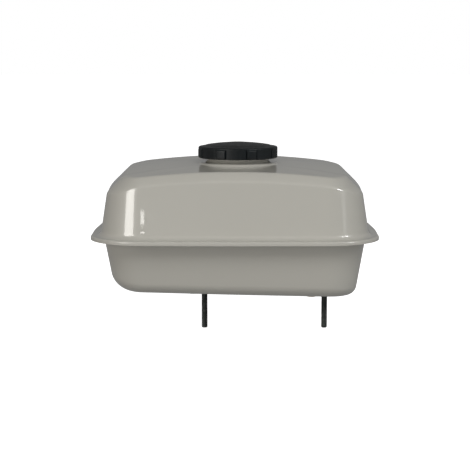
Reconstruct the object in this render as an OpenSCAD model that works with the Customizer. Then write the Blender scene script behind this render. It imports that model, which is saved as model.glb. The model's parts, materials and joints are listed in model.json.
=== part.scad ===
// Fuel tank of a small air-cooled engine, made of two drawn steel halves joined at a seam flange.
// A collar on top takes a pressed neck with a bayonet cap and a lift-out strainer. Two studs on hat
// brackets hold the tank to the engine, and a threaded outlet with a gauze stands on the sloped floor.
// X runs along the tank, Y to its rear and Z up. The origin is midway between the studs, on the plane
// where their brackets seat. Modules draw in the tank's own frame, which has its origin on the seam
// plane in the middle of the flange, and in_row() moves them to the part's frame.

/* [Tank] */
// Length of the seam flange, end to end
flange_l = 284; // [236:1:342]
// Width of the seam flange, front to back
flange_w = 190; // [158:1:229]
// Corner radius of the seam flange, seen from above
flange_r = 53; // [50:1:60]
// Height of the top above the seam plane, in the middle
upper_h = 69.3; // [57:0.1:83]
// Depth of the pan's floor below the seam plane, in the middle
pan_h = 56; // [47:1:67]
// Fall of the floor towards the outlet end, in degrees
floor_slope = 1.3; // [0:0.1:1.5]
// Thickness of the steel sheet
sheet_t = 0.9; // [0.7:0.1:1.2]
// How far the rolled lip hangs below the seam plane
lip_h = 3; // [2:0.2:5]

/* [Upper shell] */
// Distance from the flange's edge to the foot of the wall
wall_in = 9.8; // [9:0.1:12]
// Draft of the upper wall, in degrees
upper_draft = 8.9; // [6:0.1:12]
// Radius of the fillet between the flange and the wall
foot_r = 6; // [4:0.5:8]
// Radius of the shoulder along the front and the rear
shoulder_r = 12.4; // [10:0.1:18]
// Radius of the shoulder at the two ends
end_shoulder_r = 23.5; // [20:0.5:34]
// How far the middle of each end's shoulder is drawn in, which flattens it
end_flat = 2.9; // [0:0.1:4]
// The same for the shoulders along the front and the rear
side_flat = 1.2; // [0:0.1:1.5]
// Fall of the domed top towards each end
dome_fall_l = 6.6; // [2:0.1:8]
// Fall of the domed top towards the front and the rear
dome_fall_w = 1; // [0.5:0.1:3]
// Slope of the whole top down to the front, in degrees
top_tilt = 3; // [0:0.1:4]

/* [Pan] */
// Distance from the flange's edge to the pan's wall
pan_in = 13.1; // [12:0.1:16]
// Draft of the pan's wall, in degrees
pan_draft = 10.2; // [6:0.1:12]
// Radius of the bend from the flange into the pan's wall
bend_r = 4; // [2:0.5:5]
// Radius of the floor's edge at the shallow end
floor_r_shallow = 21; // [10:1:22]
// Radius of the floor's edge at the deep end
floor_r_deep = 10; // [8:1:18]
// Radius of the floor's edge along the front and the rear
floor_r_side = 14; // [8:1:18]

/* [Filler neck] */
// Radius of the neck's bore
neck_bore_r = 28.7; // [24:0.1:30]
// Thickness of the neck's wall
neck_wall = 1.2; // [0.8:0.1:2]
// Height of the level pad that the neck stands on, above the middle of the top
pad_rise = 0; // [-2:0.1:3]
// Offset of the neck from the middle of the tank, towards the outlet end
neck_x = 3; // [-20:1:20]
// Height of the drawn collar and of the rim's seat above the pad
collar_h = 8; // [7:0.1:10]
// Thickness of the rim that the gasket seals on
rim_t = 1.2; // [1:0.1:1.6]
// How far the rim stands out past the collar
rim_out = 3; // [2.6:0.1:4]
// Depth of the strainer's shelf below the pad
shelf_z = 8; // [6:0.5:12]

/* [Cap] */
// Outer radius of the cap's skirt
cap_r = 40; // [38.5:0.1:48]
// Height of the cap's skirt
skirt_h = 11.6; // [11.5:0.1:14]
// Height of the cap's dome above its skirt
cap_dome_h = 4; // [3.5:0.1:7]
// Number of grip ribs round the cap
grips = 8; // [6:1:12]
// Width of each grip rib, in degrees
grip_deg = 13.5; // [8:0.5:18]
// How far each grip rib stands out from the skirt
grip_out = 1.2; // [0.8:0.1:2]
// How far the cap sinks for each degree of turn as it locks
draw_per_deg = 0.01; // [0.006:0.001:0.012]

/* [Strainer] */
// Depth of the strainer's basket below its rim
basket_h = 40; // [20:1:44]

/* [Mounting] */
// Distance between the two studs
stud_gap = 122; // [90:1:146]
// Offset of the studs' midpoint from the middle of the tank, towards the outlet end
stud_x = 30; // [10:1:30]
// Position of the studs in front of the tank's middle line
stud_front = 12; // [0:1:20]
// Radius of the studs
stud_r = 3; // [2.5:0.5:4]
// Length of the studs below the seat
stud_l = 37; // [25:1:50]
// Drop of the seat plane below the floor, at the stud nearer the outlet
seat_drop = 4.2; // [4:0.1:8]

/* [Outlet] */
// Position of the outlet from the middle of the tank, along the tank
outlet_x = 80; // [60:1:82]
// Position of the outlet behind the tank's middle line
outlet_y = 26; // [10:1:26]
// Outer radius of the hose spigot
spigot_r = 3; // [2.5:0.1:4]
// Length of the spigot that the hose covers
spigot_l = 18; // [14:1:24]
// Height of the gauze that stands in the tank
gauze_h = 36; // [20:1:40]

/* [Hidden] */

$fn = 96;
eps = 0.01;
big = 400;
clear = 0.3;            // gap between pieces that move past each other
fit = 0.1;              // gap between pieces that are joined

corner_n = 7;           // segments in each plan corner of the two shells
long_n = 4;             // segments along each long side
short_n = 2;            // segments along each short side
ring_n = 4 * corner_n + 2 * long_n + 2 * short_n;
half_l = flange_l / 2;
half_w = flange_w / 2;
side_bow = 1.2;         // outward bow of each side of the flange
lip_r = 2 * sheet_t;

collar_bore_r = (neck_bore_r + neck_wall + fit) / cos(180 / ring_n);
collar_r = collar_bore_r + sheet_t;
collar_foot_r = 4;      // fillet from the pad into the collar
pad_r = collar_r + collar_foot_r + 2.5;
pad_slope_w = 4;        // width of the ring between the pad and the sloping top
pad_z = upper_h + pad_rise;

// Share of the long sides' shape, against the ends', where the outline's normal is n
function side_share(n) = pow(n[1], 4);
function shoulder_at(n) = mix(end_shoulder_r, shoulder_r, side_share(n));
// Distance from the flange's edge to the inner end of a shoulder of radius r
function shoulder_in(r) = wall_in + (upper_h - r) * tan(upper_draft) + r;
dome_l = half_l - shoulder_in(end_shoulder_r);
dome_w = half_w - shoulder_in(shoulder_r);

floor_tan = tan(floor_slope);
bung_r = 7.1;           // radius of the bung where it passes the floor
outlet_hole_r = bung_r + 1.3;    // leaves room for the brazing

bracket_t = 1.6;
bracket_l = 28;         // bracket along X
web_w = 26;             // the hat's seat, along Y
foot_w = 9;             // each foot of the hat
shank_r = stud_r + 0.3;  // pressed shank of each stud, in its bracket
stud_head_r = 6;
stud_head_t = 2;
seat_z = -pan_h - tan(floor_slope) * (stud_x + stud_gap / 2) - seat_drop;

rim_r = collar_r + rim_out;
rim_z = collar_h + rim_t;          // the face that the gasket seals on
notch_half = 20;                   // half the angle of each notch in the rim
tab_half = 14;                     // half the angle of each locking tab
tab_t = 1.2;
cam_start = 24;                    // where each cam starts, past the notch's middle
cam_end = 106;                     // where each cam ends, at its stop
stop_end = 110;
cam_lead = 0.2;                    // thickness of each cam where it starts
tab_top = collar_h - cam_lead - clear + draw_per_deg * (cam_start - tab_half);
lock_deg = 90;
draw_h = draw_per_deg * lock_deg;  // how far the cap sinks when it locks
gasket_t = 1.8;
plate_t = 1.0;
plate_z = rim_z + gasket_t;        // underside of the pressure plate's rim
plate_r = rim_r + 0.2;
well_r = neck_bore_r - 5.7;        // outer radius of the plate's spring well
well_z = 3;                        // underside of the well's floor
cup_t = 1.0;
cup_r = rim_r + clear + 1 + cup_t;
cup_z = plate_z + plate_t + draw_h + clear;    // underside of the cup's top
skirt_z = tab_top - tab_t - 2;     // lowest edge of the cap's skirt
skirt_top_z = skirt_z + skirt_h;
skirt_inner_r = cup_r + 0.2;
rivet_r = 2.4;
rivet_head_r = 5;
baffle_t = 1.2;
spring_wire_r = 0.8;
spring_r = 14;
spring_turns = 3.5;

// Points on an arc of radius r about c, from angle a0 to a1 in n segments.
function arc(c, r, a0, a1, n) =
    [for (i = [0:n]) let (a = a0 + (a1 - a0) * i / n) c + r * [cos(a), sin(a)]];
// Points on such an arc whose middle is drawn in by cut, so that it is flatter there.
function flat_arc(c, r, cut, a0, a1, n) =
    let (m = (a0 + a1) / 2)
    [for (i = [0:n])
        let (a = a0 + (a1 - a0) * i / n, u = 2 * i / n - 1)
        c + r * [cos(a), sin(a)] - cut * pow(1 - u * u, 2) * [cos(m), sin(m)]];
function mix(a, b, u) = a + (b - a) * u;
function smooth(u) = u * u * (3 - 2 * u);
function flat_xy(p) = [p[0], p[1]];

// The flange's outline as [point, outward normal] pairs: four corner arcs and slightly bowed sides.
function outline(a, b, r) =
    let (signs = [[1, 1], [-1, 1], [-1, -1], [1, -1]])
    [for (q = [0:3])
        let (
            s = signs[q],
            s2 = signs[(q + 1) % 4],
            n = q % 2 == 0 ? long_n : short_n,
            p1 = [s[0] * (a - r), s[1] * (b - r)] + r * [cos(90 * q + 90), sin(90 * q + 90)],
            p2 = [s2[0] * (a - r), s2[1] * (b - r)] + r * [cos(90 * q + 90), sin(90 * q + 90)],
            out = [cos(90 * q + 90), sin(90 * q + 90)]
        )
        each concat(
            [for (k = [0:corner_n])
                let (t = 90 * (q + k / corner_n))
                [[s[0] * (a - r), s[1] * (b - r)] + r * [cos(t), sin(t)], [cos(t), sin(t)]]],
            [for (k = [1:n - 1])
                let (t = 2 * k / n - 1)
                [mix(p1, p2, k / n) + side_bow * (1 - t * t) * (1 - t * t) * out, out]]
        )
    ];

base = outline(half_l, half_w, flange_r);

// Faces of a closed skin whose rings of ring_n points follow each other and meet the first ring again.
function tube_faces(rings, n) =
    [for (j = [0:rings - 1]) for (i = [0:n - 1])
        let (
            a = j * n + i,
            b = j * n + (i + 1) % n,
            c = ((j + 1) % rings) * n + (i + 1) % n,
            d = ((j + 1) % rings) * n + i
        )
        each [[a, c, b], [a, d, c]]];

// Upper shell --------------------------------------------------------------------------------------

function dome_z(p) =
    upper_h + tan(top_tilt) * p[1]
    - dome_fall_l * pow(p[0] / dome_l, 2) - dome_fall_w * pow(p[1] / dome_w, 2);
// Angle at which the top falls in the direction n
function dome_slope(p, n) =
    atan(2 * dome_fall_l * p[0] * n[0] / pow(dome_l, 2)
        + 2 * dome_fall_w * p[1] * n[1] / pow(dome_w, 2) - tan(top_tilt) * n[1]);

// The wall's profile as [inset from the flange's edge, height], for the skin that lies o inside. Its
// shoulder has radius r and is drawn in by cut, and meets a top of height top and the slope slope.
function upper_profile(o, r, cut, top, slope) =
    let (
        foot = [wall_in - foot_r * tan((90 - upper_draft) / 2), sheet_t + foot_r],
        wall_foot = foot + foot_r * [cos(upper_draft), -sin(upper_draft)],
        shoulder_z = top - r * cos(slope),
        wall_top_z = shoulder_z + r * sin(upper_draft),
        wall_top_in = wall_foot[0] + (wall_top_z - wall_foot[1]) * tan(upper_draft),
        shoulder = [wall_top_in + r * cos(upper_draft), shoulder_z]
    )
    concat(
        [[o, -lip_h]],
        arc([lip_r, sheet_t - lip_r], lip_r - o, 180, 90, 3),
        arc(foot, foot_r + o, -90, -upper_draft, 4),
        flat_arc(shoulder, r - o, cut, 180 - upper_draft, 90 + slope, 7)
    );

// Direction from the neck's axis in which line i of the skin reaches the collar
function collar_dir(i) = let (a = 360 * (i + short_n / 2) / ring_n) [cos(a), sin(a)];

// Line i of the skin, from the lip up the wall, over the dome and up the collar.
function upper_line(i, o) =
    let (
        b = base[i],
        r = shoulder_at(b[1]),
        cut = mix(end_flat, side_flat, side_share(b[1])),
        nominal = b[0] - shoulder_in(r) * b[1],
        profile = upper_profile(o, r, cut, dome_z(nominal), dome_slope(nominal, b[1])),
        wall = [for (p = profile) let (q = b[0] - p[0] * b[1]) [q[0], q[1], p[1]]],
        end = wall[len(wall) - 1],
        neck = [neck_x, 0],
        dir = collar_dir(i),
        slack = end[2] - dome_z(end) + o,
        foot_z = pad_z + collar_foot_r
    )
    concat(
        wall,
        [for (u = [1 / 3, 2 / 3, 1])
            let (q = mix(flat_xy(end), neck + (pad_r + pad_slope_w) * dir, u))
            [q[0], q[1], dome_z(q) - o + slack * (1 - u)]],
        [for (u = [1 / 2, 1])
            let (q = neck + (pad_r + pad_slope_w * (1 - u)) * dir)
            [q[0], q[1], mix(dome_z(q), pad_z, smooth(u)) - o]],
        [for (p = arc([collar_r + collar_foot_r, foot_z], collar_foot_r + o, -90, -180, 4))
            let (q = neck + p[0] * dir)
            [q[0], q[1], p[1]]],
        [let (q = neck + (collar_r - o) * dir) [q[0], q[1], pad_z + collar_h]]
    );

// A sheet-metal skin whose outer and inner lines are given for each point of the outline.
module sheet_skin(outer, inner) {
    rings = len(outer[0]);
    points = concat(
        [for (j = [0:rings - 1]) for (i = [0:ring_n - 1]) outer[i][j]],
        [for (j = [rings - 1:-1:0]) for (i = [0:ring_n - 1]) inner[i][j]]
    );
    polyhedron(points, tube_faces(2 * rings, ring_n));
}

module upper_shell() {
    color("gainsboro")
        sheet_skin(
            [for (i = [0:ring_n - 1]) upper_line(i, 0)],
            [for (i = [0:ring_n - 1]) upper_line(i, sheet_t)]
        );
}

// Lower pan ----------------------------------------------------------------------------------------

// The pan's profile as [inset, height], for the skin that lies o above its underside.
function pan_profile(o, edge_r) =
    let (
        bend = [pan_in - bend_r * tan((90 - pan_draft) / 2), -sheet_t - bend_r],
        wall_top = bend + bend_r * [cos(pan_draft), sin(pan_draft)],
        edge_z = edge_r - pan_h,
        wall_foot_z = edge_z - edge_r * sin(pan_draft),
        wall_foot_in = wall_top[0] + (wall_top[1] - wall_foot_z) * tan(pan_draft),
        edge = [wall_foot_in + edge_r * cos(pan_draft), edge_z]
    )
    concat(
        [[lip_r + fit, o - sheet_t]],
        arc(bend, bend_r + o, 90, pan_draft, 4),
        arc(edge, edge_r - o, 180 + pan_draft, 270, 6)
    );

function sloped(p) = [p[0], p[1], p[2] * (1 + floor_tan * p[0] / pan_h)];
function floor_z(x) = -pan_h - floor_tan * x;

function pan_line(b, o) =
    let (
        end_r = mix(floor_r_shallow, floor_r_deep, (b[0][0] / half_l + 1) / 2),
        profile = pan_profile(o, mix(floor_r_side, end_r, b[1][0] * b[1][0])),
        wall = [for (p = profile) let (q = b[0] - p[0] * b[1]) [q[0], q[1], p[1]]],
        end = wall[len(wall) - 1],
        hole = [outlet_x, outlet_y],
        dir = (flat_xy(end) - hole) / norm(flat_xy(end) - hole)
    )
    [for (p = concat(
        wall,
        [for (u = [1 / 2, 1])
            let (q = mix(flat_xy(end), hole + outlet_hole_r * dir, u))
            [q[0], q[1], end[2]]]
    )) sloped(p)];

module lower_pan() {
    color("gainsboro")
        sheet_skin([for (b = base) pan_line(b, sheet_t)], [for (b = base) pan_line(b, 0)]);
}

// Filler neck and its cams -------------------------------------------------------------------------

// A ring sector between two radii, from angle a0 to a1.
module sector(r0, r1, h, a0, a1) {
    steps = 6;
    far = 2 * r1;
    linear_extrude(h)
        difference() {
            circle(r1);
            circle(r0);
            polygon(concat([[0, 0]],
                [for (i = [0:steps]) let (a = a1 + (a0 + 360 - a1) * i / steps) far * [cos(a), sin(a)]]));
        }
}

module filler_neck() {
    color("silver")
        difference() {
            rotate_extrude()
                polygon([
                    [neck_bore_r, -shelf_z],
                    [neck_bore_r - 2.1, -shelf_z],
                    [neck_bore_r - 2.1, -shelf_z - 1],
                    [neck_bore_r + neck_wall, -shelf_z - 1],
                    [neck_bore_r + neck_wall, collar_h],
                    [rim_r, collar_h],
                    [rim_r, rim_z],
                    [neck_bore_r, rim_z]
                ]);
            for (turn = [0, 180])
                translate([0, 0, collar_h - 1])
                    sector(collar_r + 0.5, rim_r + 5, rim_t + 2, turn - notch_half, turn + notch_half);
        }
}

module neck_cams() {
    cam_mid = (cam_start + cam_end) / 2;
    cam_r = (collar_r + rim_r) / 2;
    span = cam_end - cam_start;
    slope = atan(draw_per_deg * span / (2 * cam_r * sin(span / 2)));
    depth = cam_lead + draw_per_deg * span + 0.5;
    color("silver")
        for (turn = [0, 180]) rotate([0, 0, turn]) {
            difference() {
                translate([0, 0, collar_h - depth])
                    sector(collar_r + 0.4, rim_r - 0.2, depth, -cam_end, -cam_start);
                rotate([0, 0, -cam_mid])
                    translate([0, 0, collar_h - cam_lead - draw_per_deg * span / 2])
                    rotate([slope, 0, 0])
                    translate([0, -big / 2, -big])
                    cube([big, big, big]);
            }
            translate([0, 0, tab_top - draw_h - 1])
                sector(collar_r + 0.4, rim_r - 0.2, collar_h - tab_top + draw_h + 1, -stop_end, -cam_end);
        }
}

// Strainer -----------------------------------------------------------------------------------------

basket_r = neck_bore_r - 2.1 - 1.2;

module strainer_frame() {
    rib_n = 6;
    color("white") {
        difference() {
            translate([0, 0, -shelf_z]) cylinder(r = neck_bore_r - 0.4, h = 1.5);
            translate([0, 0, -shelf_z - 1]) cylinder(r = basket_r - 1.6, h = 4);
        }
        for (i = [0:rib_n - 1])
            rotate([0, 0, 360 * i / rib_n])
                translate([basket_r - 1.6, -1, -shelf_z - basket_h])
                cube([1.2, 2, basket_h + eps]);
        translate([0, 0, -shelf_z - basket_h])
            difference() {
                cylinder(r = basket_r - 0.4, h = 1.4);
                translate([0, 0, -1]) cylinder(r = basket_r - 4, h = 4);
            }
        for (i = [0:2])
            rotate([0, 0, 60 * i])
                translate([-basket_r + 3, -1, -shelf_z - basket_h])
                cube([2 * basket_r - 6, 2, 1.4]);
    }
}

module strainer_mesh() {
    color("lightgreen")
        difference() {
            translate([0, 0, -shelf_z - basket_h - 0.4]) cylinder(r = basket_r, h = basket_h + 0.4);
            translate([0, 0, -shelf_z - basket_h]) cylinder(r = basket_r - 0.3, h = basket_h + 1);
        }
}

// Cap ----------------------------------------------------------------------------------------------

module pressure_plate() {
    color("silver")
        rotate_extrude()
            polygon([
                [rivet_r + clear, well_z],
                [well_r, well_z],
                [well_r, plate_z],
                [plate_r, plate_z],
                [plate_r, plate_z + plate_t],
                [well_r - plate_t, plate_z + plate_t],
                [well_r - plate_t, well_z + plate_t],
                [rivet_r + clear, well_z + plate_t]
            ]);
}

module cap_gasket() {
    color("sienna")
        translate([0, 0, rim_z])
        difference() {
            cylinder(r = rim_r - 0.4, h = gasket_t);
            translate([0, 0, -1]) cylinder(r = neck_bore_r + 0.5, h = gasket_t + 2);
        }
}

module cap_baffle() {
    color("dimgray")
        translate([0, 0, well_z - baffle_t])
        difference() {
            cylinder(r = well_r - 2, h = baffle_t);
            translate([0, 0, -1]) cylinder(r = rivet_r + clear, h = baffle_t + 2);
            for (i = [0:5])
                rotate([0, 0, 60 * i]) translate([well_r - 7, 0, -1]) cylinder(r = 1.5, h = baffle_t + 2);
        }
}

// The helical spring between the plate's well and the cup, swept with flat-ground ends.
module cap_spring() {
    sides = 8;
    steps = 72;
    z0 = well_z + plate_t + spring_wire_r;
    z1 = cup_z - spring_wire_r;
    points = [for (j = [0:steps]) for (i = [0:sides - 1])
        let (
            a = 360 * spring_turns * j / steps,
            r = spring_r + spring_wire_r * cos(360 * i / sides),
            z = mix(z0, z1, j / steps) + spring_wire_r * sin(360 * i / sides)
        )
        [r * cos(a), r * sin(a), z]];
    faces = concat(
        [[for (i = [0:sides - 1]) i]],
        [for (j = [0:steps - 1]) for (i = [0:sides - 1])
            let (a = j * sides + i, b = j * sides + (i + 1) % sides)
            each [[a, b + sides, b], [a, a + sides, b + sides]]],
        [[for (i = [sides - 1:-1:0]) steps * sides + i]]
    );
    color("silver") polyhedron(points, faces);
}

module cap_rivet() {
    low = well_z - baffle_t - clear;
    color("silver") {
        translate([0, 0, low - 1.2]) cylinder(r = rivet_head_r, h = 1.2);
        translate([0, 0, low - eps]) cylinder(r = rivet_r, h = cup_z + cup_t - low + 2 * eps);
        translate([0, 0, cup_z + cup_t]) cylinder(r = rivet_head_r, h = 1.2);
    }
}

module lock_cup() {
    color("silver") {
        difference() {
            translate([0, 0, tab_top - tab_t]) cylinder(r = cup_r, h = cup_z + cup_t - tab_top + tab_t);
            translate([0, 0, tab_top - tab_t - 1])
                cylinder(r = cup_r - cup_t, h = cup_z - tab_top + tab_t + 1);
            translate([0, 0, cup_z - 1]) cylinder(r = rivet_r + fit, h = cup_t + 2);
            for (turn = [90, 270])
                rotate([0, 0, turn]) translate([11, 0, cup_z - 1]) cylinder(r = 1.2, h = cup_t + 2);
        }
        for (turn = [0, 180])
            translate([0, 0, tab_top - tab_t])
                sector(collar_r + 1, cup_r - cup_t / 2, tab_t, turn - tab_half, turn + tab_half);
    }
}

module vent_pad() {
    color("khaki")
        translate([0, 0, cup_z + cup_t])
        difference() {
            cylinder(r = 15, h = 2);
            translate([0, 0, -1]) cylinder(r = rivet_head_r + 1.5, h = 4);
        }
}

module cap_shell() {
    roof_z = cup_z + cup_t;
    edge_r = 1.6;
    crown_z = skirt_top_z + cap_dome_h;
    crown_r = 9;
    roof_t = 2.2;
    grip_z = skirt_z + 0.6;
    grip_h = skirt_h - 2.2;
    color("black") {
        rotate_extrude()
            polygon(concat(
                [[skirt_inner_r, skirt_z], [cap_r - 0.8, skirt_z], [cap_r, skirt_z + 0.8]],
                arc([cap_r - edge_r, skirt_top_z - edge_r], edge_r, 0, 90, 5),
                [
                    [crown_r, crown_z], [0, crown_z],
                    [0, crown_z - roof_t], [crown_r, crown_z - roof_t],
                    [skirt_inner_r - 2, skirt_top_z - roof_t + 0.6],
                    [skirt_inner_r - 2, roof_z], [skirt_inner_r, roof_z]
                ]
            ));
        for (i = [0:grips - 1])
            rotate([0, 0, 360 * (i + 0.5) / grips - 2.5])
                translate([0, 0, grip_z])
                sector(cap_r - 1, cap_r + grip_out, grip_h, -grip_deg / 2, grip_deg / 2);
        // Snap lugs that hold the metal cup in the plastic shell.
        for (turn = [45, 135, 225, 315])
            translate([0, 0, tab_top - tab_t - 1.3])
                sector(cup_r - 0.8, skirt_inner_r + 1, 1, turn - 8, turn + 8);
    }
}

// Brackets and studs -------------------------------------------------------------------------------

// The level hat over one stud. Its legs and feet meet the sloped floor.
module bracket(x) {
    floor_here = floor_z(x);
    color("gainsboro") {
        difference() {
            translate([x - bracket_l / 2, -stud_front - web_w / 2, seat_z])
                cube([bracket_l, web_w, -seat_z]);
            translate([x - big / 2, -stud_front - web_w / 2 + bracket_t, seat_z + bracket_t])
                cube([big, web_w - 2 * bracket_t, big]);
            translate([x, -big / 2, floor_here]) rotate([0, floor_slope, 0])
                translate([-big / 2, 0, 0]) cube([big, big, big]);
            translate([x, -stud_front, seat_z - 1]) cylinder(r = shank_r + fit, h = bracket_t + 2);
        }
        for (side = [-1, 1])
            translate([x, -stud_front, floor_here]) rotate([0, floor_slope, 0])
                translate([-bracket_l / 2, side > 0 ? web_w / 2 - eps : -web_w / 2 - foot_w, -bracket_t])
                cube([bracket_l, foot_w + eps, bracket_t]);
    }
}

module stud(x) {
    color("dimgray")
        translate([x, -stud_front, 0]) {
            translate([0, 0, seat_z - stud_l + 0.8]) cylinder(r = stud_r, h = stud_l - 0.8 + eps);
            translate([0, 0, seat_z - stud_l]) cylinder(r1 = stud_r - 0.8, r2 = stud_r, h = 0.8);
            translate([0, 0, seat_z]) cylinder(r = shank_r, h = bracket_t + eps);
            translate([0, 0, seat_z + bracket_t]) cylinder(r = stud_head_r, h = stud_head_t);
        }
}

// Outlet -------------------------------------------------------------------------------------------

bung_flange_r = 10;
bung_flange_t = 2;
bung_up = 4;            // how far the bung stands up inside the tank
bung_bore_r = 5.5;
washer_t = 1.2;
hex_af = 17;
hex_h = 5;
hub_r = 6.5;
hub_h = 8;
passage_r = 2.2;
hex_top = -bung_flange_t - washer_t;
hub_bottom = hex_top - hex_h - hub_h;
spigot_z = hub_bottom + hub_h / 2 + 0.5;
port_l = 9;
insert_l = 4;           // length of the spigot that is pressed into the port
insert_r = spigot_r - 0.3;
nipple_r = 4.4;
nipple_h = 3;

module on_floor(x, y) {
    translate([x, y, floor_z(x)]) rotate([0, floor_slope, 0]) children();
}

module outlet_bung() {
    color("silver")
        difference() {
            union() {
                translate([0, 0, -bung_flange_t]) cylinder(r = bung_flange_r, h = bung_flange_t);
                translate([0, 0, -eps]) cylinder(r = bung_r, h = bung_up + eps);
            }
            translate([0, 0, -bung_flange_t - 1]) cylinder(r = bung_bore_r, h = bung_flange_t + bung_up + 2);
        }
}

module outlet_washer() {
    color("peru")
        translate([0, 0, hex_top])
        difference() {
            cylinder(r = 8.4, h = washer_t);
            translate([0, 0, -1]) cylinder(r = bung_bore_r, h = washer_t + 2);
        }
}

module outlet_body() {
    color("goldenrod")
        difference() {
            union() {
                translate([0, 0, hex_top - hex_h]) cylinder(r = hex_af / 2 / cos(30), h = hex_h, $fn = 6);
                translate([0, 0, hex_top - eps])
                    cylinder(r = bung_bore_r - fit, h = bung_up - hex_top + eps);
                translate([0, 0, bung_up - eps]) cylinder(r = nipple_r, h = nipple_h + eps);
                translate([0, 0, hub_bottom + 1]) cylinder(r = hub_r, h = hub_h - 1 + eps);
                translate([0, 0, hub_bottom]) cylinder(r1 = hub_r - 1, r2 = hub_r, h = 1);
                translate([0, 0, spigot_z]) rotate([-90, 0, 0]) cylinder(r = spigot_r + 1.4, h = port_l);
            }
            translate([0, 0, spigot_z]) cylinder(r = passage_r, h = 60);
            translate([0, 0, spigot_z]) rotate([-90, 0, 0]) cylinder(r = passage_r, h = 20);
            translate([0, port_l - insert_l, spigot_z]) rotate([-90, 0, 0])
                cylinder(r = insert_r + 0.05, h = 20);
        }
}

module outlet_spigot() {
    color("goldenrod")
        translate([0, port_l, spigot_z]) rotate([-90, 0, 0])
        difference() {
            union() {
                translate([0, 0, -insert_l]) cylinder(r = insert_r, h = insert_l + eps);
                cylinder(r = spigot_r, h = spigot_l - 0.6);
                translate([0, 0, spigot_l - 0.6]) cylinder(r1 = spigot_r, r2 = spigot_r - 0.5, h = 0.6);
            }
            translate([0, 0, -insert_l - 1]) cylinder(r = passage_r, h = insert_l + spigot_l + 2);
        }
}

module gauze_frame() {
    color("white")
        translate([0, 0, bung_up]) {
            difference() {
                cylinder(r = bung_r - 0.3, h = 3);
                translate([0, 0, -1]) cylinder(r = nipple_r + fit, h = 5);
            }
            for (i = [0:2])
                rotate([0, 0, 120 * i]) translate([nipple_r + 0.2, -0.7, 3 - eps])
                    cube([0.8, 1.4, gauze_h - 3 + 2 * eps]);
            translate([0, 0, gauze_h]) cylinder(r = bung_r - 0.3, h = 2);
        }
}

module gauze_mesh() {
    r = nipple_r + 1.4;
    color("lightgreen")
        translate([0, 0, bung_up + 3])
        difference() {
            cylinder(r = r, h = gauze_h - 3);
            translate([0, 0, -1]) cylinder(r = r - 0.3, h = gauze_h);
        }
}

// Assembly -----------------------------------------------------------------------------------------

module in_row() {
    translate([-stud_x, stud_front, -seat_z]) children();
}
module at_neck() {
    in_row() translate([neck_x, 0, pad_z]) children();
}
module at_outlet() {
    in_row() on_floor(outlet_x, outlet_y) children();
}

in_row() upper_shell();
in_row() lower_pan();
at_neck() filler_neck();
at_neck() neck_cams();
at_neck() strainer_frame();
at_neck() strainer_mesh();
in_row() bracket(stud_x - stud_gap / 2);  // bracket_left
in_row() bracket(stud_x + stud_gap / 2);  // bracket_right
in_row() stud(stud_x - stud_gap / 2);  // stud_left
in_row() stud(stud_x + stud_gap / 2);  // stud_right
at_outlet() outlet_bung();
at_outlet() outlet_washer();
at_outlet() outlet_body();
at_outlet() outlet_spigot();
at_outlet() gauze_frame();
at_outlet() gauze_mesh();
at_neck() pressure_plate();
at_neck() cap_gasket();
at_neck() cap_baffle();
at_neck() cap_spring();
at_neck() cap_rivet();
at_neck() lock_cup();
at_neck() vent_pad();
at_neck() cap_shell();
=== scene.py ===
"""Looks of the small-engine fuel tank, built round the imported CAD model.

Lengths are in millimetres in the tank's own frames and become metres where a mesh is made. The tank frame
has its origin on the seam plane in the middle of the flange; the neck frame has its origin on the neck's
axis, on the level pad that the neck stands on. Both are placed from the CAD boxes.
"""
import json
import math

import bmesh
import bpy
import numpy as np
from mathutils import Matrix, Vector


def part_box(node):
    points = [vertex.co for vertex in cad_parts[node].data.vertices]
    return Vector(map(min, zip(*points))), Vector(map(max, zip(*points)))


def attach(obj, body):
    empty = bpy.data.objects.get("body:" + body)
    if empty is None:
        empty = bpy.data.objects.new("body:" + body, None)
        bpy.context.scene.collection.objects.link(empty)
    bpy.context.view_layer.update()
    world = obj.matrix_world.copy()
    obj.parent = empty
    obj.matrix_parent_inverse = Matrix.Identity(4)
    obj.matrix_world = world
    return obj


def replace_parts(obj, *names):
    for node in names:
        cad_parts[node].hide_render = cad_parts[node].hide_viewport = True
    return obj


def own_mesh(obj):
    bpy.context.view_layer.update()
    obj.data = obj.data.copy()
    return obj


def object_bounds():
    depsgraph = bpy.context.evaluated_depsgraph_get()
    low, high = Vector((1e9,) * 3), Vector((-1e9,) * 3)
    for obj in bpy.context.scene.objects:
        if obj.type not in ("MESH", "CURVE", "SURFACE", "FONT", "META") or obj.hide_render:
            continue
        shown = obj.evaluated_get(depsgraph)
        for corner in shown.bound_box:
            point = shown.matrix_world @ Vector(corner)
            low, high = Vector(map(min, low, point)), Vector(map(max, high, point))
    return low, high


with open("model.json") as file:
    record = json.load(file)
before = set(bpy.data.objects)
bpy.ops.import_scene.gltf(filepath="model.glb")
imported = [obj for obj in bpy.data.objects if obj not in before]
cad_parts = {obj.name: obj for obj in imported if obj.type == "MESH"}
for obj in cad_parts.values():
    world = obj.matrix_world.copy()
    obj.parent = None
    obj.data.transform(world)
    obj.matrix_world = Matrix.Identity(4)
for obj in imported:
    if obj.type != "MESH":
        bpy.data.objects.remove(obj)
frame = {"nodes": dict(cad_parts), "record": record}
cad_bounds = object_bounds()
MM = 0.001

# Sizes of the two shells, in millimetres -------------------------------------------------------------

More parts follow.
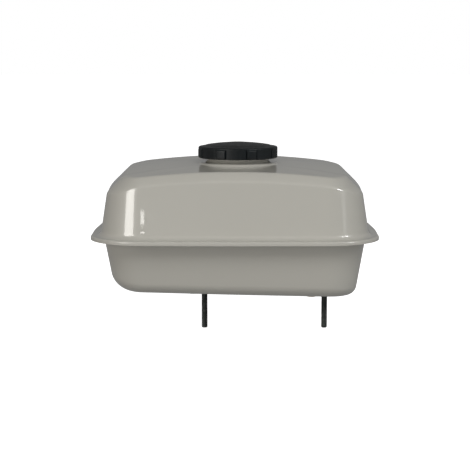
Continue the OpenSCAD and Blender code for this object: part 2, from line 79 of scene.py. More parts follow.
SHEET_T = 0.9
SIDE_BOW = 1.2
FLANGE_R = 53.0
LIP_R = 1.8
LIP_H = 3.0
LIP_GAP = 0.1
WALL_IN = 9.8
UPPER_DRAFT = math.radians(8.9)
FOOT_R = 6.0
SHOULDER_R = 12.4
END_SHOULDER_R = 23.5
END_FLAT = 2.9
SIDE_FLAT = 1.2
DOME_FALL_L = 6.6
DOME_FALL_W = 1.0
TOP_TILT = math.tan(math.radians(3.0))
PAD_RIM = 2.5
PAD_SLOPE_W = 4.0
COLLAR_H = 8.0
COLLAR_R = 30.9
COLLAR_FOOT_R = 4.0
PAN_IN = 13.1
PAN_DRAFT = math.radians(10.2)
BEND_R = 4.0
PAN_H = 56.0
FLOOR_R_SHALLOW = 21.0
FLOOR_R_DEEP = 10.0
FLOOR_R_SIDE = 14.0
FLOOR_SLOPE = math.radians(1.3)
OUTLET_HOLE_R = 8.4

# Places, from the CAD boxes --------------------------------------------------------------------------

shell_lo, shell_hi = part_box("upper_shell")
neck_lo, neck_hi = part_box("filler_neck")
bung_lo, bung_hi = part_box("outlet_bung")
shell_mid = (shell_lo + shell_hi) / (2 * MM)
HALF_L = (shell_hi.x - shell_lo.x) / (2 * MM) - SIDE_BOW
HALF_W = (shell_hi.y - shell_lo.y) / (2 * MM) - SIDE_BOW
TANK = Vector((shell_mid.x, shell_mid.y, shell_lo.z / MM + LIP_H))
neck_mid = (neck_lo + neck_hi) / (2 * MM)
NECK = Vector((neck_mid.x, neck_mid.y, shell_hi.z / MM - COLLAR_H))
UPPER_H = NECK.z - TANK.z
neck_xy = np.array([NECK.x - TANK.x, NECK.y - TANK.y])
outlet_xy = np.array([
    (bung_lo.x + bung_hi.x) / (2 * MM) - TANK.x,
    (bung_lo.y + bung_hi.y) / (2 * MM) - TANK.y,
])


# Mesh helpers ----------------------------------------------------------------------------------------

def new_piece(name, vertices, faces, body, slot, sharp_deg=38.0):
    """A smooth-shaded mesh piece on a body. Vertices are in metres in the row frame."""
    mesh = bpy.data.meshes.new(name)
    mesh.from_pydata([tuple(v) for v in vertices], [], faces)
    mesh.validate()
    return finish_piece(name, mesh, body, slot, sharp_deg)


def finish_piece(name, mesh, body, slot, sharp_deg=38.0):
    tidy = bmesh.new()
    tidy.from_mesh(mesh)
    bmesh.ops.recalc_face_normals(tidy, faces=tidy.faces)
    tidy.to_mesh(mesh)
    tidy.free()
    for polygon in mesh.polygons:
        polygon.use_smooth = True
    mesh.set_sharp_from_angle(angle=math.radians(sharp_deg))
    piece = bpy.data.objects.new(name, mesh)
    bpy.context.scene.collection.objects.link(piece)
    piece.data.materials.append(MATERIALS[slot])
    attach(piece, body)
    return piece


def ring_faces(rings, around, closed=True):
    """Quads between successive rings of points, joining the last ring to the first if closed."""
    faces = []
    for j in range(rings if closed else rings - 1):
        k = (j + 1) % rings
        for i in range(around):
            h = (i + 1) % around
            faces.append((j * around + i, j * around + h, k * around + h, k * around + i))
    return faces


def arc(centre, radius, start, end, steps):
    """Points on an arc; angles in radians."""
    return [
        (centre[0] + radius * math.cos(a), centre[1] + radius * math.sin(a))
        for a in (start + (end - start) * i / steps for i in range(steps + 1))
    ]


def flat_arc(centre, radius, cut, start, end, steps):
    """Points on an arc whose middle is drawn in by cut, so that it is flatter there."""
    middle = (start + end) / 2
    points = []
    for i, (x, z) in enumerate(arc(centre, radius, start, end, steps)):
        share = cut * (1 - (2 * i / steps - 1) ** 2) ** 2
        points.append((x - share * math.cos(middle), z - share * math.sin(middle)))
    return points


def rounded(outline, radius, steps=4):
    """A closed outline with each corner rounded, as far as its edges leave room."""
    result = []
    count = len(outline)
    for i, corner in enumerate(outline):
        before, after = outline[i - 1], outline[(i + 1) % count]
        p = np.array(corner, float)
        u = np.array(before, float) - p
        v = np.array(after, float) - p
        lu, lv = np.linalg.norm(u), np.linalg.norm(v)
        cosine = float(np.clip(u @ v / (lu * lv), -1, 1))
        half = math.acos(cosine) / 2
        on_axis = abs(p[0]) < 1e-6
        if on_axis or half > math.radians(88):
            result.append(tuple(p))
            continue
        cut = min(radius / math.tan(half), 0.45 * lu, 0.45 * lv)
        a, b = p + u / lu * cut, p + v / lv * cut
        for t in np.linspace(0, 1, steps + 1):
            result.append(tuple((1 - t) ** 2 * a + 2 * t * (1 - t) * p + t * t * b))
    return result


def weld(mesh, sharp_deg):
    """Joins the points that meet on the axis and drops the empty faces."""
    tidy = bmesh.new()
    tidy.from_mesh(mesh)
    bmesh.ops.remove_doubles(tidy, verts=tidy.verts, dist=1e-7)
    bmesh.ops.dissolve_degenerate(tidy, edges=tidy.edges, dist=1e-7)
    bmesh.ops.recalc_face_normals(tidy, faces=tidy.faces)
    tidy.to_mesh(mesh)
    tidy.free()
    for polygon in mesh.polygons:
        polygon.use_smooth = True
    mesh.set_sharp_from_angle(angle=math.radians(sharp_deg))


def dressed(node, slot, bevel=0.25):
    """A CAD node's own shape with its edges broken, in place of the node."""
    mesh = frame["nodes"][node].data.copy()
    tidy = bmesh.new()
    tidy.from_mesh(mesh)
    bmesh.ops.remove_doubles(tidy, verts=tidy.verts, dist=1e-6)
    bmesh.ops.dissolve_limit(tidy, angle_limit=math.radians(0.5), verts=tidy.verts, edges=tidy.edges)
    tidy.to_mesh(mesh)
    tidy.free()
    mesh.materials.clear()
    body = [b for b, members in frame["record"]["behaviour"]["bodies"].items() if node in members][0]
    piece = finish_piece(node + "_look", mesh, body, slot)
    edge = piece.modifiers.new("edge", "BEVEL")
    edge.width = bevel * MM
    edge.segments = 2
    edge.limit_method = "ANGLE"
    edge.angle_limit = math.radians(32)
    edge.harden_normals = True
    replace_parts(piece, node)
    return piece


# Materials -------------------------------------------------------------------------------------------

class Shade:
    """A material made of a Principled shader and a few texture nodes."""

    def __init__(self, name, roughness=0.5, metallic=0.0, coat=0.0, coat_roughness=0.05, specular=0.5):
        self.material = bpy.data.materials.new(name)
        self.material.use_nodes = True
        self.nodes = self.material.node_tree.nodes
        self.links = self.material.node_tree.links
        self.shader = self.nodes["Principled BSDF"]
        self.set("Roughness", roughness)
        self.set("Metallic", metallic)
        self.set("Coat Weight", coat)
        self.set("Coat Roughness", coat_roughness)
        self.set("Specular IOR Level", specular)
        self.place = self.nodes.new("ShaderNodeTexCoord").outputs["Object"]

    def set(self, socket, value):
        self.shader.inputs[socket].default_value = value

    def join(self, output, socket):
        self.links.new(output, self.shader.inputs[socket])

    def noise(self, size_mm, detail=3.0, rough=0.5, stretch=(1, 1, 1)):
        """Noise whose features are about size_mm across."""
        place = self.nodes.new("ShaderNodeMapping")
        place.inputs["Scale"].default_value = stretch
        self.links.new(self.place, place.inputs["Vector"])
        texture = self.nodes.new("ShaderNodeTexNoise")
        texture.inputs["Scale"].default_value = 1 / (size_mm * MM)
        texture.inputs["Detail"].default_value = detail
        texture.inputs["Roughness"].default_value = rough
        self.links.new(place.outputs["Vector"], texture.inputs["Vector"])
        return texture.outputs["Fac"]

    def ramp(self, factor, stops):
        """Colours or greys along a factor: stops are (position, colour)."""
        ramp = self.nodes.new("ShaderNodeValToRGB")
        elements = ramp.color_ramp.elements
        while len(elements) < len(stops):
            elements.new(0.5)
        for element, (position, colour) in zip(elements, stops):
            element.position = position
            element.color = (*colour, 1.0) if isinstance(colour, tuple) else (colour, colour, colour, 1.0)
        self.links.new(factor, ramp.inputs["Fac"])
        return ramp.outputs["Color"]

    def span(self, factor, low, high):
        """A factor mapped from 0.3..0.7 to low..high."""
        remap = self.nodes.new("ShaderNodeMapRange")
        for socket, value in (("From Min", 0.3), ("From Max", 0.7), ("To Min", low), ("To Max", high)):
            remap.inputs[socket].default_value = value
        self.links.new(factor, remap.inputs["Value"])
        return remap.outputs["Result"]

    def bump(self, height, strength, depth_mm, under=None):
        bump = self.nodes.new("ShaderNodeBump")
        bump.inputs["Strength"].default_value = strength
        bump.inputs["Distance"].default_value = depth_mm * MM
        self.links.new(height, bump.inputs["Height"])
        if under is not None:
            self.links.new(under, bump.inputs["Normal"])
        return bump.outputs["Normal"]


def enamel(name, light, shade_tone):
    """Glossy stoving enamel with a faint waviness and slight changes of tone."""
    s = Shade(name, roughness=0.3, coat=0.9, coat_roughness=0.035, specular=0.45)
    tone = s.noise(90, detail=0.5)
    s.join(s.ramp(tone, [(0.25, shade_tone), (0.75, light)]), "Base Color")
    wave = s.bump(s.noise(40, detail=0.0), 0.04, 0.25)
    s.join(wave, "Normal")
    s.join(wave, "Coat Normal")
    return s.material


def plated(name, light, dark, roughness=0.32):
    """Zinc plate: cloudy spangle and fine scratches."""
    s = Shade(name, roughness=roughness, metallic=1.0)
    s.join(s.ramp(s.noise(5, detail=5, rough=0.6), [(0.3, dark), (0.7, light)]), "Base Color")
    s.join(s.span(s.noise(1.3, detail=4), roughness - 0.07, roughness + 0.12), "Roughness")
    s.join(s.bump(s.noise(0.35, detail=3, stretch=(1, 1, 0.15)), 0.18, 0.03), "Normal")
    return s.material


def moulded(name, light, dark, roughness, grain_mm, grain_depth, specular=0.5):
    """Moulded plastic with spark-eroded grain and slight flow marks."""
    s = Shade(name, roughness=roughness, specular=specular)
    s.join(s.ramp(s.noise(14, detail=3), [(0.3, dark), (0.7, light)]), "Base Color")
    s.join(s.span(s.noise(3.5, detail=4), roughness - 0.06, roughness + 0.08), "Roughness")
    grain = s.bump(s.noise(grain_mm, detail=2), 0.35, grain_depth)
    s.join(s.bump(s.noise(11, detail=1), 0.12, 0.12, under=grain), "Normal")
    return s.material


def elastomer(name, light, dark, roughness=0.6):
    """Moulded rubber, slightly bloomed."""
    s = Shade(name, roughness=roughness, specular=0.35)
    s.join(s.ramp(s.noise(6, detail=5), [(0.3, dark), (0.72, light)]), "Base Color")
    s.join(s.span(s.noise(2, detail=3), roughness - 0.1, roughness + 0.12), "Roughness")
    s.join(s.bump(s.noise(0.6, detail=3), 0.3, 0.04), "Normal")
    return s.material


def brass_metal(name):
    """Turned brass with tool marks and a little tarnish."""
    s = Shade(name, roughness=0.28, metallic=1.0)
    tones = [(0.3, (0.42, 0.27, 0.10)), (0.7, (0.72, 0.50, 0.20))]
    s.join(s.ramp(s.noise(7, detail=5), tones), "Base Color")
    s.join(s.span(s.noise(2.5, detail=4), 0.22, 0.42), "Roughness")
    s.join(s.bump(s.noise(0.25, detail=2, stretch=(0.1, 0.1, 1)), 0.2, 0.02), "Normal")
    return s.material


def foam(name):
    """Open-cell foam."""
    s = Shade(name, roughness=0.95, specular=0.1)
    cells = s.nodes.new("ShaderNodeTexVoronoi")
    cells.inputs["Scale"].default_value = 1 / (0.8 * MM)
    s.links.new(s.place, cells.inputs["Vector"])
    tones = [(0.1, (0.20, 0.15, 0.07)), (0.6, (0.56, 0.44, 0.22))]
    s.join(s.ramp(cells.outputs["Distance"], tones), "Base Color")
    s.join(s.bump(cells.outputs["Distance"], 0.9, 0.5), "Normal")
    return s.material


MATERIALS = {
    "tank_paint": enamel("tank_paint", (0.440, 0.428, 0.384), (0.432, 0.420, 0.376)),
    # The neck's paint is the tank's paint painted about twice as light: painted light, standing in for the
    # light on the neck's ring under the cap's overhang.
    "neck_paint": enamel("neck_paint", (0.88, 0.86, 0.79), (0.85, 0.83, 0.76)),
    "plated_steel": plated("plated_steel", (0.62, 0.60, 0.50), (0.42, 0.41, 0.36)),
    "stud_steel": plated("stud_steel", (0.150, 0.160, 0.154), (0.055, 0.062, 0.060), 0.45),
    "spring_steel": plated("spring_steel", (0.60, 0.61, 0.62), (0.44, 0.45, 0.46), 0.25),
    "brass": brass_metal("brass"),
    "fibre": elastomer("fibre", (0.30, 0.060, 0.030), (0.18, 0.030, 0.018), 0.75),
    "strainer_plastic": moulded("strainer_plastic", (0.80, 0.80, 0.74), (0.70, 0.70, 0.64), 0.42, 0.5, 0.02),
    "strainer_gauze": moulded("strainer_gauze", (0.74, 0.74, 0.62), (0.60, 0.60, 0.50), 0.5, 0.4, 0.02),
    "gasket_rubber": elastomer("gasket_rubber", (0.150, 0.060, 0.035), (0.080, 0.032, 0.020)),
    "baffle_rubber": elastomer("baffle_rubber", (0.022, 0.022, 0.022), (0.010, 0.010, 0.010)),
    "vent_foam": foam("vent_foam"),
    "cap_plastic": moulded(
        "cap_plastic", (0.0055, 0.0080, 0.0092), (0.0030, 0.0046, 0.0054), 0.46, 0.45, 0.02, specular=0.26
    ),
}


# The two pressed shells ------------------------------------------------------------------------------

SKIN_SHARP_DEG = 50.0
CORNER_STEPS, LONG_STEPS, SHORT_STEPS = 26, 40, 18
LIP_STEPS, FLANGE_STEPS, FOOT_STEPS, WALL_STEPS, SHOULDER_STEPS = 8, 3, 14, 12, 30
TOP_STEPS, PAD_STEPS, COLLAR_STEPS = 18, 8, 12
BEND_STEPS, PAN_WALL_STEPS, FLOOR_EDGE_STEPS, FLOOR_STEPS = 10, 8, 18, 12


def flange_outline():
    """Points and outward normals round the flange: four corner arcs and slightly bowed sides."""
    points, normals = [], []
    signs = [(1, 1), (-1, 1), (-1, -1), (1, -1)]
    centres = [np.array([s[0] * (HALF_L - FLANGE_R), s[1] * (HALF_W - FLANGE_R)]) for s in signs]
    for q in range(4):
        for k in range(CORNER_STEPS + 1):
            a = math.pi / 2 * (q + k / CORNER_STEPS)
            n = np.array([math.cos(a), math.sin(a)])
            points.append(centres[q] + FLANGE_R * n)
            normals.append(n)
        steps = LONG_STEPS if q % 2 == 0 else SHORT_STEPS
        a = math.pi / 2 * (q + 1)
        n = np.array([math.cos(a), math.sin(a)])
        start, end = centres[q] + FLANGE_R * n, centres[(q + 1) % 4] + FLANGE_R * n
        for k in range(1, steps):
            t = 2 * k / steps - 1
            points.append(start + (end - start) * k / steps + SIDE_BOW * (1 - t * t) ** 2 * n)
            normals.append(n)
    return np.array(points), np.array(normals)


outline_points, outline_normals = flange_outline()
AROUND = len(outline_points)


def shoulder_in(radius):
    """How far inside the outline a shoulder of this radius meets the top."""
    return WALL_IN + (UPPER_H - radius) * math.tan(UPPER_DRAFT) + radius


DOME_L = HALF_L - shoulder_in(END_SHOULDER_R)
DOME_W = HALF_W - shoulder_in(SHOULDER_R)


def dome_z(p):
    """Height of the domed, sloping top at a point."""
    fall = DOME_FALL_L * (p[0] / DOME_L) ** 2 + DOME_FALL_W * (p[1] / DOME_W) ** 2
    return UPPER_H + TOP_TILT * p[1] - fall


def dome_slope(p, n):
    """The top's downward angle at a point, towards n."""
    fall = 2 * DOME_FALL_L * p[0] * n[0] / DOME_L ** 2 + 2 * DOME_FALL_W * p[1] * n[1] / DOME_W ** 2
    return math.atan(fall - TOP_TILT * n[1])


def smooth_step(u):
    """0 to 1 with level ends."""
    return u * u * (3 - 2 * u)


def between(a, b, steps):
    """Points strictly between a and b."""
    return [(a[0] + (b[0] - a[0]) * k / steps, a[1] + (b[1] - a[1]) * k / steps) for k in range(1, steps)]


def upper_line(p, n, o):
    """One line of the upper shell's skin that lies o inside, from the lip to the top of the collar."""
    side_share = n[1] ** 4
    radius = END_SHOULDER_R + (SHOULDER_R - END_SHOULDER_R) * side_share
    cut = END_FLAT + (SIDE_FLAT - END_FLAT) * side_share
    inner = p - shoulder_in(radius) * n
    slope = dome_slope(inner, n)
    foot = (WALL_IN - FOOT_R * math.tan((math.pi / 2 - UPPER_DRAFT) / 2), SHEET_T + FOOT_R)
    foot_end = (foot[0] + FOOT_R * math.cos(UPPER_DRAFT), foot[1] - FOOT_R * math.sin(UPPER_DRAFT))
    centre_z = dome_z(inner) - radius * math.cos(slope)
    top_z = centre_z + radius * math.sin(UPPER_DRAFT)
    top_in = foot_end[0] + (top_z - foot_end[1]) * math.tan(UPPER_DRAFT)
    centre = (top_in + radius * math.cos(UPPER_DRAFT), centre_z)
    lip = arc((LIP_R, SHEET_T - LIP_R), LIP_R - o, math.pi, math.pi / 2, LIP_STEPS)
    fillet = arc(foot, FOOT_R + o, -math.pi / 2, -UPPER_DRAFT, FOOT_STEPS)
    sweep = (math.pi - UPPER_DRAFT, math.pi / 2 + slope)
    shoulder = flat_arc(centre, radius - o, cut, *sweep, SHOULDER_STEPS)
    profile = [(o, -LIP_H)] + lip + between(lip[-1], fillet[0], FLANGE_STEPS) + fillet
    profile += between(fillet[-1], shoulder[0], WALL_STEPS) + shoulder
    line = [(*(p - inset * n), z) for inset, z in profile]
    end = np.array(line[-1][:2])
    slack = line[-1][2] - dome_z(end) + o
    pad_r = COLLAR_R + COLLAR_FOOT_R + PAD_RIM
    toward = (end - neck_xy) / np.linalg.norm(end - neck_xy)
    ring = neck_xy + (pad_r + PAD_SLOPE_W) * toward
    for u in np.linspace(0, 1, TOP_STEPS + 1)[1:]:
        q = end + (ring - end) * u
        line.append((*q, dome_z(q) - o + slack * (1 - u)))
    for u in np.linspace(0, 1, PAD_STEPS + 1)[1:]:
        q = neck_xy + (pad_r + PAD_SLOPE_W * (1 - u)) * toward
        line.append((*q, dome_z(q) + (UPPER_H - dome_z(q)) * smooth_step(u) - o))
    foot_z = UPPER_H + COLLAR_FOOT_R
    foot_at = (COLLAR_R + COLLAR_FOOT_R, foot_z)
    for r, z in arc(foot_at, COLLAR_FOOT_R + o, -math.pi / 2, -math.pi, COLLAR_STEPS):
        line.append((*(neck_xy + r * toward), z))
    line.append((*(neck_xy + (COLLAR_R - o) * toward), UPPER_H + COLLAR_H))
    return line


def pan_line(p, n, o):
    """One line of the pan's skin that lies o above its underside, from the flange to the outlet hole."""
    end_r = FLOOR_R_SHALLOW + (FLOOR_R_DEEP - FLOOR_R_SHALLOW) * (p[0] / HALF_L + 1) / 2
    edge_r = FLOOR_R_SIDE + (end_r - FLOOR_R_SIDE) * n[0] ** 2
    bend = (PAN_IN - BEND_R * math.tan((math.pi / 2 - PAN_DRAFT) / 2), -SHEET_T - BEND_R)
    wall_top = (bend[0] + BEND_R * math.cos(PAN_DRAFT), bend[1] + BEND_R * math.sin(PAN_DRAFT))
    edge_z = edge_r - PAN_H
    foot_z = edge_z - edge_r * math.sin(PAN_DRAFT)
    foot_in = wall_top[0] + (wall_top[1] - foot_z) * math.tan(PAN_DRAFT)
    edge = (foot_in + edge_r * math.cos(PAN_DRAFT), edge_z)
    bend_arc = arc(bend, BEND_R + o, math.pi / 2, PAN_DRAFT, BEND_STEPS)
    edge_arc = arc(edge, edge_r - o, math.pi + PAN_DRAFT, 3 * math.pi / 2, FLOOR_EDGE_STEPS)
    wall = between(bend_arc[-1], edge_arc[0], PAN_WALL_STEPS)
    profile = [(LIP_R + LIP_GAP, o - SHEET_T)] + bend_arc + wall + edge_arc
    line = [(*(p - inset * n), z) for inset, z in profile]
    end = np.array(line[-1][:2])
    toward = (end - outlet_xy) / np.linalg.norm(end - outlet_xy)
    hole = outlet_xy + OUTLET_HOLE_R * toward
    for u in np.linspace(0, 1, FLOOR_STEPS + 1)[1:]:
        line.append((*(end + (hole - end) * u), line[-1][2]))
    fall = math.tan(FLOOR_SLOPE) / PAN_H
    return [(x, y, z * (1 + fall * x)) for x, y, z in line]


def skin(name, line_of, outer_o, inner_o):
    """A closed sheet-metal skin from its outer and inner lines."""
    outer = [line_of(p, n, outer_o) for p, n in zip(outline_points, outline_normals)]
    inner = [line_of(p, n, inner_o) for p, n in zip(outline_points, outline_normals)]
    length = len(outer[0])
    vertices = [(TANK + Vector(outer[i][j])) * MM for j in range(length) for i in range(AROUND)]
    vertices += [(TANK + Vector(inner[i][j])) * MM for j in reversed(range(length)) for i in range(AROUND)]
    return new_piece(name, vertices, ring_faces(2 * length, AROUND), "tank", "tank_paint", SKIN_SHARP_DEG)


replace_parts(skin("upper_shell_look", upper_line, 0.0, SHEET_T), "upper_shell")
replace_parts(skin("lower_pan_look", pan_line, SHEET_T, 0.0), "lower_pan")


# Neck and strainer -----------------------------------------------------------------------------------

MESH_R = 25.25
BASKET_H = 40.0
BASKET_DROP = 8.0
STRAND_T = 0.22

# The neck takes the lighter painted copy of the tank paint, painted light for its lit ring under the cap.
dressed("filler_neck", "neck_paint", 0.35)
dressed("neck_cams", "plated_steel", 0.1)
dressed("strainer_frame", "strainer_plastic", 0.3)


def gauze(node, radius, low, high, around, rows, origin, tilt=0.0):
    """A woven sleeve: one strand round each row and up each column, in place of the CAD sleeve."""
    turn = Matrix.Rotation(tilt, 3, "Y")
    vertices = []
    for j in range(rows + 1):
        z = low + (high - low) * j / rows
        for i in range(around):
            a = 2 * math.pi * i / around
            local = turn @ Vector((radius * math.cos(a), radius * math.sin(a), z))
            vertices.append((origin + local) * MM)
    mesh = bpy.data.meshes.new(node + "_look")
    mesh.from_pydata(vertices, [], ring_faces(rows + 1, around, closed=False))
    piece = finish_piece(node + "_look", mesh, "tank", "strainer_gauze")
    strands = piece.modifiers.new("strands", "WIREFRAME")
    strands.thickness = STRAND_T * MM
    strands.use_replace = True
    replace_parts(piece, node)


gauze("strainer_mesh", MESH_R, -BASKET_H - BASKET_DROP, -BASKET_DROP, 132, 34, NECK)


# Cap -------------------------------------------------------------------------------------------------

cap_lo, cap_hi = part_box("cap_shell")
CAP_R = 40.0
GRIPS = 8
GRIP_HALF = math.radians(6.75)
GRIP_OUT = 1.2
GRIP_TURN = math.radians(20.0)
SKIRT_Z = cap_lo.z / MM - NECK.z
CROWN_Z = cap_hi.z / MM - NECK.z
CAP_DOME_H = 4.0
SKIRT_TOP = CROWN_Z - CAP_DOME_H
CROWN_R = 9.0
CAP_EDGE_R = 1.6
CAP_INNER_R = 36.4
CUP_SEAT_R = 34.4
CUP_SEAT_Z = 14.25
ROOF_T = 2.2
DOME_POWER = 2.1
GROOVE_DEPTH = 0.9
GROOVE_HALF = math.radians(0.9)
GROOVE_AT = GRIP_HALF + math.radians(0.5)
CAP_AROUND = 960
CAP_SHARP_DEG = 34.0


def cap_section():
    """The cap's closed section without its grips, as (radius, height) points."""
    rim = arc((CAP_R - CAP_EDGE_R, SKIRT_TOP - CAP_EDGE_R), CAP_EDGE_R, 0, math.pi / 2, 8)
    bead = [(CAP_R - 3.6, SKIRT_TOP + 0.35), (CAP_R - 4.6, SKIRT_TOP + 0.25)]
    dome = [
        (CAP_R * (1 - u), SKIRT_TOP + CAP_DOME_H * (1 - (1 - u) ** DOME_POWER))
        for u in (0.2, 0.3, 0.4, 0.5, 0.6, 0.7)
    ]
    crown = [(CROWN_R, CROWN_Z), (2.0, CROWN_Z), (0.0, CROWN_Z)]
    skirt = [(CAP_INNER_R, SKIRT_Z), (CAP_R - 0.8, SKIRT_Z), (CAP_R, SKIRT_Z + 0.8)]
    skirt += [(CAP_R, z) for z in np.linspace(SKIRT_Z + 1.0, SKIRT_TOP - CAP_EDGE_R - 0.1, 14)]
    roof = [(0.0, CROWN_Z - ROOF_T), (CROWN_R, CROWN_Z - ROOF_T), (CUP_SEAT_R, SKIRT_TOP - CAP_EDGE_R)]
    seat = [(CUP_SEAT_R, CUP_SEAT_Z + 0.05), (CAP_INNER_R, CUP_SEAT_Z)]
    return skirt + rim + bead + dome + crown + roof + seat


def grip_height(angle):
    """How far the skirt's face stands out at an angle: a grip, or the groove beside it."""
    pitch = 2 * math.pi / GRIPS
    off = abs((angle - GRIP_TURN + pitch / 2) % pitch - pitch / 2)
    side = smooth_step(min(max((GRIP_HALF - off) / GROOVE_HALF + 0.5, 0), 1))
    groove = GROOVE_DEPTH * math.exp(-(((off - GROOVE_AT) / GROOVE_HALF) ** 2))
    return GRIP_OUT * side - groove * (1 - side)


def cap_look():
    """The moulded cap: a ribbed skirt under a low dome with a flat crown."""
    section = cap_section()
    grip_low, grip_high = SKIRT_Z + 0.6, SKIRT_TOP - CAP_EDGE_R
    grips = [grip_height(2 * math.pi * i / CAP_AROUND) for i in range(CAP_AROUND)]
    vertices = []
    for r, z in section:
        lift = min(max((z - grip_low) / 0.7, 0), 1) * min(max((grip_high - z) / 1.1, 0), 1)
        lift *= 1 if r > CAP_R - 1.0 else 0
        for i, grip in enumerate(grips):
            a = 2 * math.pi * i / CAP_AROUND
            out = r + lift * grip
            vertices.append((NECK + Vector((out * math.cos(a), out * math.sin(a), z))) * MM)
    faces = ring_faces(len(section), CAP_AROUND)
    piece = new_piece("cap_shell_look", vertices, faces, "cap", "cap_plastic", CAP_SHARP_DEG)
    weld(piece.data, CAP_SHARP_DEG)
    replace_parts(piece, "cap_shell")


cap_look()
dressed("lock_cup", "plated_steel", 0.3)
dressed("vent_pad", "vent_foam", 0.5)
dressed("cap_rivet", "plated_steel", 0.3)
dressed("pressure_plate", "plated_steel", 0.3)
dressed("cap_gasket", "gasket_rubber", 0.3)
dressed("cap_baffle", "baffle_rubber", 0.3)


def coil_spring():
    """The cap's coil spring, with ends wound flat, carried on the gasket carrier."""
    lo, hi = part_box("cap_spring")
    wire = 0.8
    flat_share = 0.09
    coil_r = (hi.x - lo.x) / (2 * MM) - wire
    turns, steps, sides = 3.5, 260, 14
    centre = Vector(((lo.x + hi.x) / (2 * MM), (lo.y + hi.y) / (2 * MM), 0))
    z0, z1 = lo.z / MM + wire, hi.z / MM - wire
    vertices = []
    for j in range(steps + 1):
        u = j / steps
        a = 2 * math.pi * turns * u
        z = z0 + (z1 - z0) * min(max((u - flat_share) / (1 - 2 * flat_share), 0), 1)
        for i in range(sides):
            b = 2 * math.pi * i / sides
            r = coil_r + wire * math.cos(b)
            local = Vector((r * math.cos(a), r * math.sin(a), z + wire * math.sin(b)))
            vertices.append((centre + local) * MM)
    faces = ring_faces(steps + 1, sides, closed=False)
    faces += [tuple(range(sides)), tuple(steps * sides + i for i in reversed(range(sides)))]
    piece = new_piece("cap_spring_look", vertices, faces, "gasket_carrier", "spring_steel")
    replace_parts(piece, "cap_spring")
    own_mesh(piece)


coil_spring()


# Brackets and studs ----------------------------------------------------------------------------------

dressed("bracket_left", "tank_paint", 0.45)
dressed("bracket_right", "tank_paint", 0.45)

STUD_R = 3.0
HEAD_R, HEAD_T = 6.0, 2.0
SHANK_R, SHANK_T = 3.3, 1.6
THREAD_PITCH = 1.0
THREAD_DEPTH = 0.45
TIP_CHAMFER = 0.8


def stud_look(node):
    """A threaded stud with a chamfered tip, a plain shank and a round head."""
    lo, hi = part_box(node)
    centre = Vector(((lo.x + hi.x) / (2 * MM), (lo.y + hi.y) / (2 * MM), 0))
    low, high = lo.z / MM, hi.z / MM
    around, per_pitch = 40, 12
    shaft_top = high - HEAD_T
    rows = int((shaft_top - low) / THREAD_PITCH * per_pitch)
    vertices = []
    for j in range(rows + 1):
        z = low + (shaft_top - low) * j / rows
        from_tip = z - low
        for i in range(around):
            turn = i / around
            phase = (z / THREAD_PITCH - turn) % 1.0
            crest = min(1.0, max(0.0, 2.0 * abs(2 * phase - 1) - 0.2))
            r = STUD_R - THREAD_DEPTH * (1 - crest)
            r = min(r, STUD_R - TIP_CHAMFER + from_tip)
            a = 2 * math.pi * turn
            vertices.append((centre + Vector((r * math.cos(a), r * math.sin(a), z))) * MM)
    faces = ring_faces(rows + 1, around, closed=False)
    faces.append(tuple(reversed(range(around))))
    faces.append(tuple(rows * around + i for i in range(around)))
    head = rounded([
        (0.0, shaft_top - SHANK_T), (SHANK_R, shaft_top - SHANK_T), (SHANK_R, shaft_top),
        (HEAD_R, shaft_top), (HEAD_R, high), (0.0, high),
    ], 0.3)
    base = len(vertices)
    for r, z in head:
        for i in range(around):
            a = 2 * math.pi * i / around
            vertices.append((centre + Vector((r * math.cos(a), r * math.sin(a), z))) * MM)
    faces += [tuple(base + k for k in f) for f in ring_faces(len(head), around)]
    piece = new_piece(node + "_look", vertices, faces, "tank", "stud_steel", 60.0)
    weld(piece.data, 60.0)
    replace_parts(piece, node)


stud_look("stud_left")
stud_look("stud_right")


# Outlet ----------------------------------------------------------------------------------------------

dressed("outlet_bung", "plated_steel", 0.3)
dressed("outlet_washer", "fibre", 0.15)
dressed("outlet_body", "brass", 0.35)
dressed("outlet_spigot", "brass", 0.2)
dressed("gauze_frame", "strainer_plastic", 0.2)

BUNG_UP = 4.0
outlet_origin = Vector((
    outlet_xy[0] + TANK.x,
    outlet_xy[1] + TANK.y,
    TANK.z - PAN_H - math.tan(FLOOR_SLOPE) * outlet_xy[0],
))
gauze_lo, gauze_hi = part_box("gauze_mesh")
GAUZE_R = 5.65
GAUZE_LOW = BUNG_UP + 3.2
GAUZE_HIGH = BUNG_UP + 2.6 + (gauze_hi.z - gauze_lo.z) / MM
gauze("gauze_mesh", GAUZE_R, GAUZE_LOW, GAUZE_HIGH, 44, 44, outlet_origin, FLOOR_SLOPE)


# Floor, light and camera -----------------------------------------------------------------------------

visual_lo, visual_hi = (Vector(v) for v in cad_bounds)
centre = (visual_lo + visual_hi) / 2


def stage_material(name, colour, glow):
    material = bpy.data.materials.new(name)
    material.use_nodes = True
    shader = material.node_tree.nodes["Principled BSDF"]
    shader.inputs["Base Color"].default_value = (*colour, 1)
    shader.inputs["Roughness"].default_value = 0.9
    shader.inputs["Emission Color"].default_value = (1, 1, 1, 1)
    shader.inputs["Emission Strength"].default_value = glow
    return material


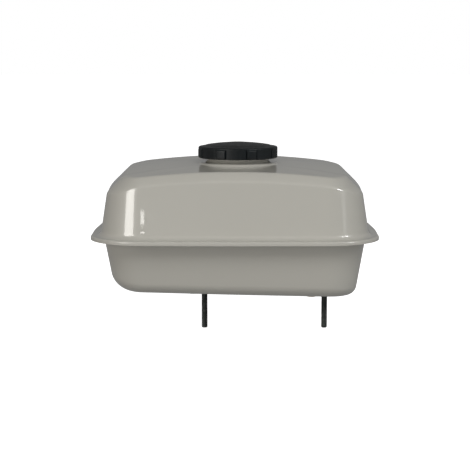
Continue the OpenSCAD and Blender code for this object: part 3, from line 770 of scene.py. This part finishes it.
def studio():
    """A pale floor at the studs' tips under a white surround."""
    bpy.ops.mesh.primitive_plane_add(size=60, location=(centre.x, centre.y, visual_lo.z))
    floor = bpy.context.object
    floor.name = "floor"
    floor.data.materials.append(stage_material("floor_white", (0.8, 0.8, 0.8), 0.95))
    floor.visible_diffuse = False
    floor.visible_glossy = False
    world = bpy.data.worlds.new("studio")
    bpy.context.scene.world = world
    world.use_nodes = True
    nodes, links = world.node_tree.nodes, world.node_tree.links
    seen, around = nodes["Background"], nodes.new("ShaderNodeBackground")
    seen.inputs["Color"].default_value = (1, 1, 1, 1)
    seen.inputs["Strength"].default_value = 1.0
    around.inputs["Color"].default_value = (1.0, 1.0, 1.0, 1)
    around.inputs["Strength"].default_value = 0.25
    path, mix = nodes.new("ShaderNodeLightPath"), nodes.new("ShaderNodeMixShader")
    links.new(path.outputs["Is Camera Ray"], mix.inputs["Fac"])
    links.new(around.outputs["Background"], mix.inputs[1])
    links.new(seen.outputs["Background"], mix.inputs[2])
    links.new(mix.outputs["Shader"], nodes["World Output"].inputs["Surface"])


def softbox(
    name, azimuth, elevation, distance, width, height, power, colour=(1, 1, 1), diffuse=True, glossy=True
):
    """An area light facing the tank. Azimuth 0 is in front of the tank and grows to the right."""
    a, e = math.radians(azimuth), math.radians(elevation)
    data = bpy.data.lights.new(name, "AREA")
    data.shape = "RECTANGLE"
    data.size, data.size_y = width, height
    data.energy = power
    data.color = colour
    light = bpy.data.objects.new(name, data)
    offset = Vector((math.sin(a) * math.cos(e), -math.cos(a) * math.cos(e), math.sin(e))) * distance
    light.location = centre + offset
    light.rotation_euler = (-offset).to_track_quat("-Z", "Y").to_euler()
    light.visible_diffuse = diffuse
    light.visible_glossy = glossy
    bpy.context.scene.collection.objects.link(light)


WARM_WHITE = (1, 0.98, 0.94)

studio()
softbox("key", 8, 45, 2.2, 1.6, 0.9, 21.5, glossy=False)
softbox("front", 4, 2, 1.8, 1.4, 0.4, 7, glossy=False)
softbox("fill_left", -62, 5, 2.0, 1.0, 1.0, 9, colour=(1, 0.93, 0.86), glossy=False)
softbox("fill_right", 62, 26, 2.0, 1.0, 1.2, 6, glossy=False)
softbox("strip_left", -40, 17, 1.6, 0.66, 0.72, 12, colour=WARM_WHITE, diffuse=False)
softbox("spot_right", 56, 33, 1.6, 0.44, 0.20, 8, diffuse=False)
softbox("glow_right", 52, 14, 1.6, 0.30, 0.60, 0.5, diffuse=False)
softbox("window_left", -9.5, 10.9, 1.7, 0.07, 0.03, 0.07, colour=WARM_WHITE, diffuse=False)

CAMERA_AZIMUTH = math.radians(-0.24)
CAMERA_ELEVATION = math.radians(7.70)
CAMERA_ROLL = math.radians(-0.013)
CAMERA_DISTANCE = 1.2427
PIXELS_PER_METRE = 978.9
FRAME_PIXELS = 470
SENSOR_MM = 36
AIM_DROP = 0.0057


def camera():
    """The camera looks a little down at the seam plane, at the tank's middle."""
    target = Vector((TANK.x * MM, TANK.y * MM, TANK.z * MM))
    a, e = CAMERA_AZIMUTH, CAMERA_ELEVATION
    ahead = Vector((math.sin(a) * math.cos(e), math.cos(a) * math.cos(e), -math.sin(e)))
    up = Vector((0, 0, 1)) - ahead * ahead.z
    up.normalize()
    data = bpy.data.cameras.new("camera")
    data.sensor_width = SENSOR_MM
    data.lens = PIXELS_PER_METRE * CAMERA_DISTANCE * SENSOR_MM / FRAME_PIXELS
    view = bpy.data.objects.new("camera", data)
    view.location = target - ahead * CAMERA_DISTANCE
    aim = target - up * AIM_DROP
    facing = (aim - view.location).to_track_quat("-Z", "Y").to_matrix()
    view.rotation_euler = (facing @ Matrix.Rotation(-CAMERA_ROLL, 3, "Z")).to_euler()
    bpy.context.scene.collection.objects.link(view)
    bpy.context.scene.camera = view


camera()
bpy.context.scene.view_settings.view_transform = "Standard"
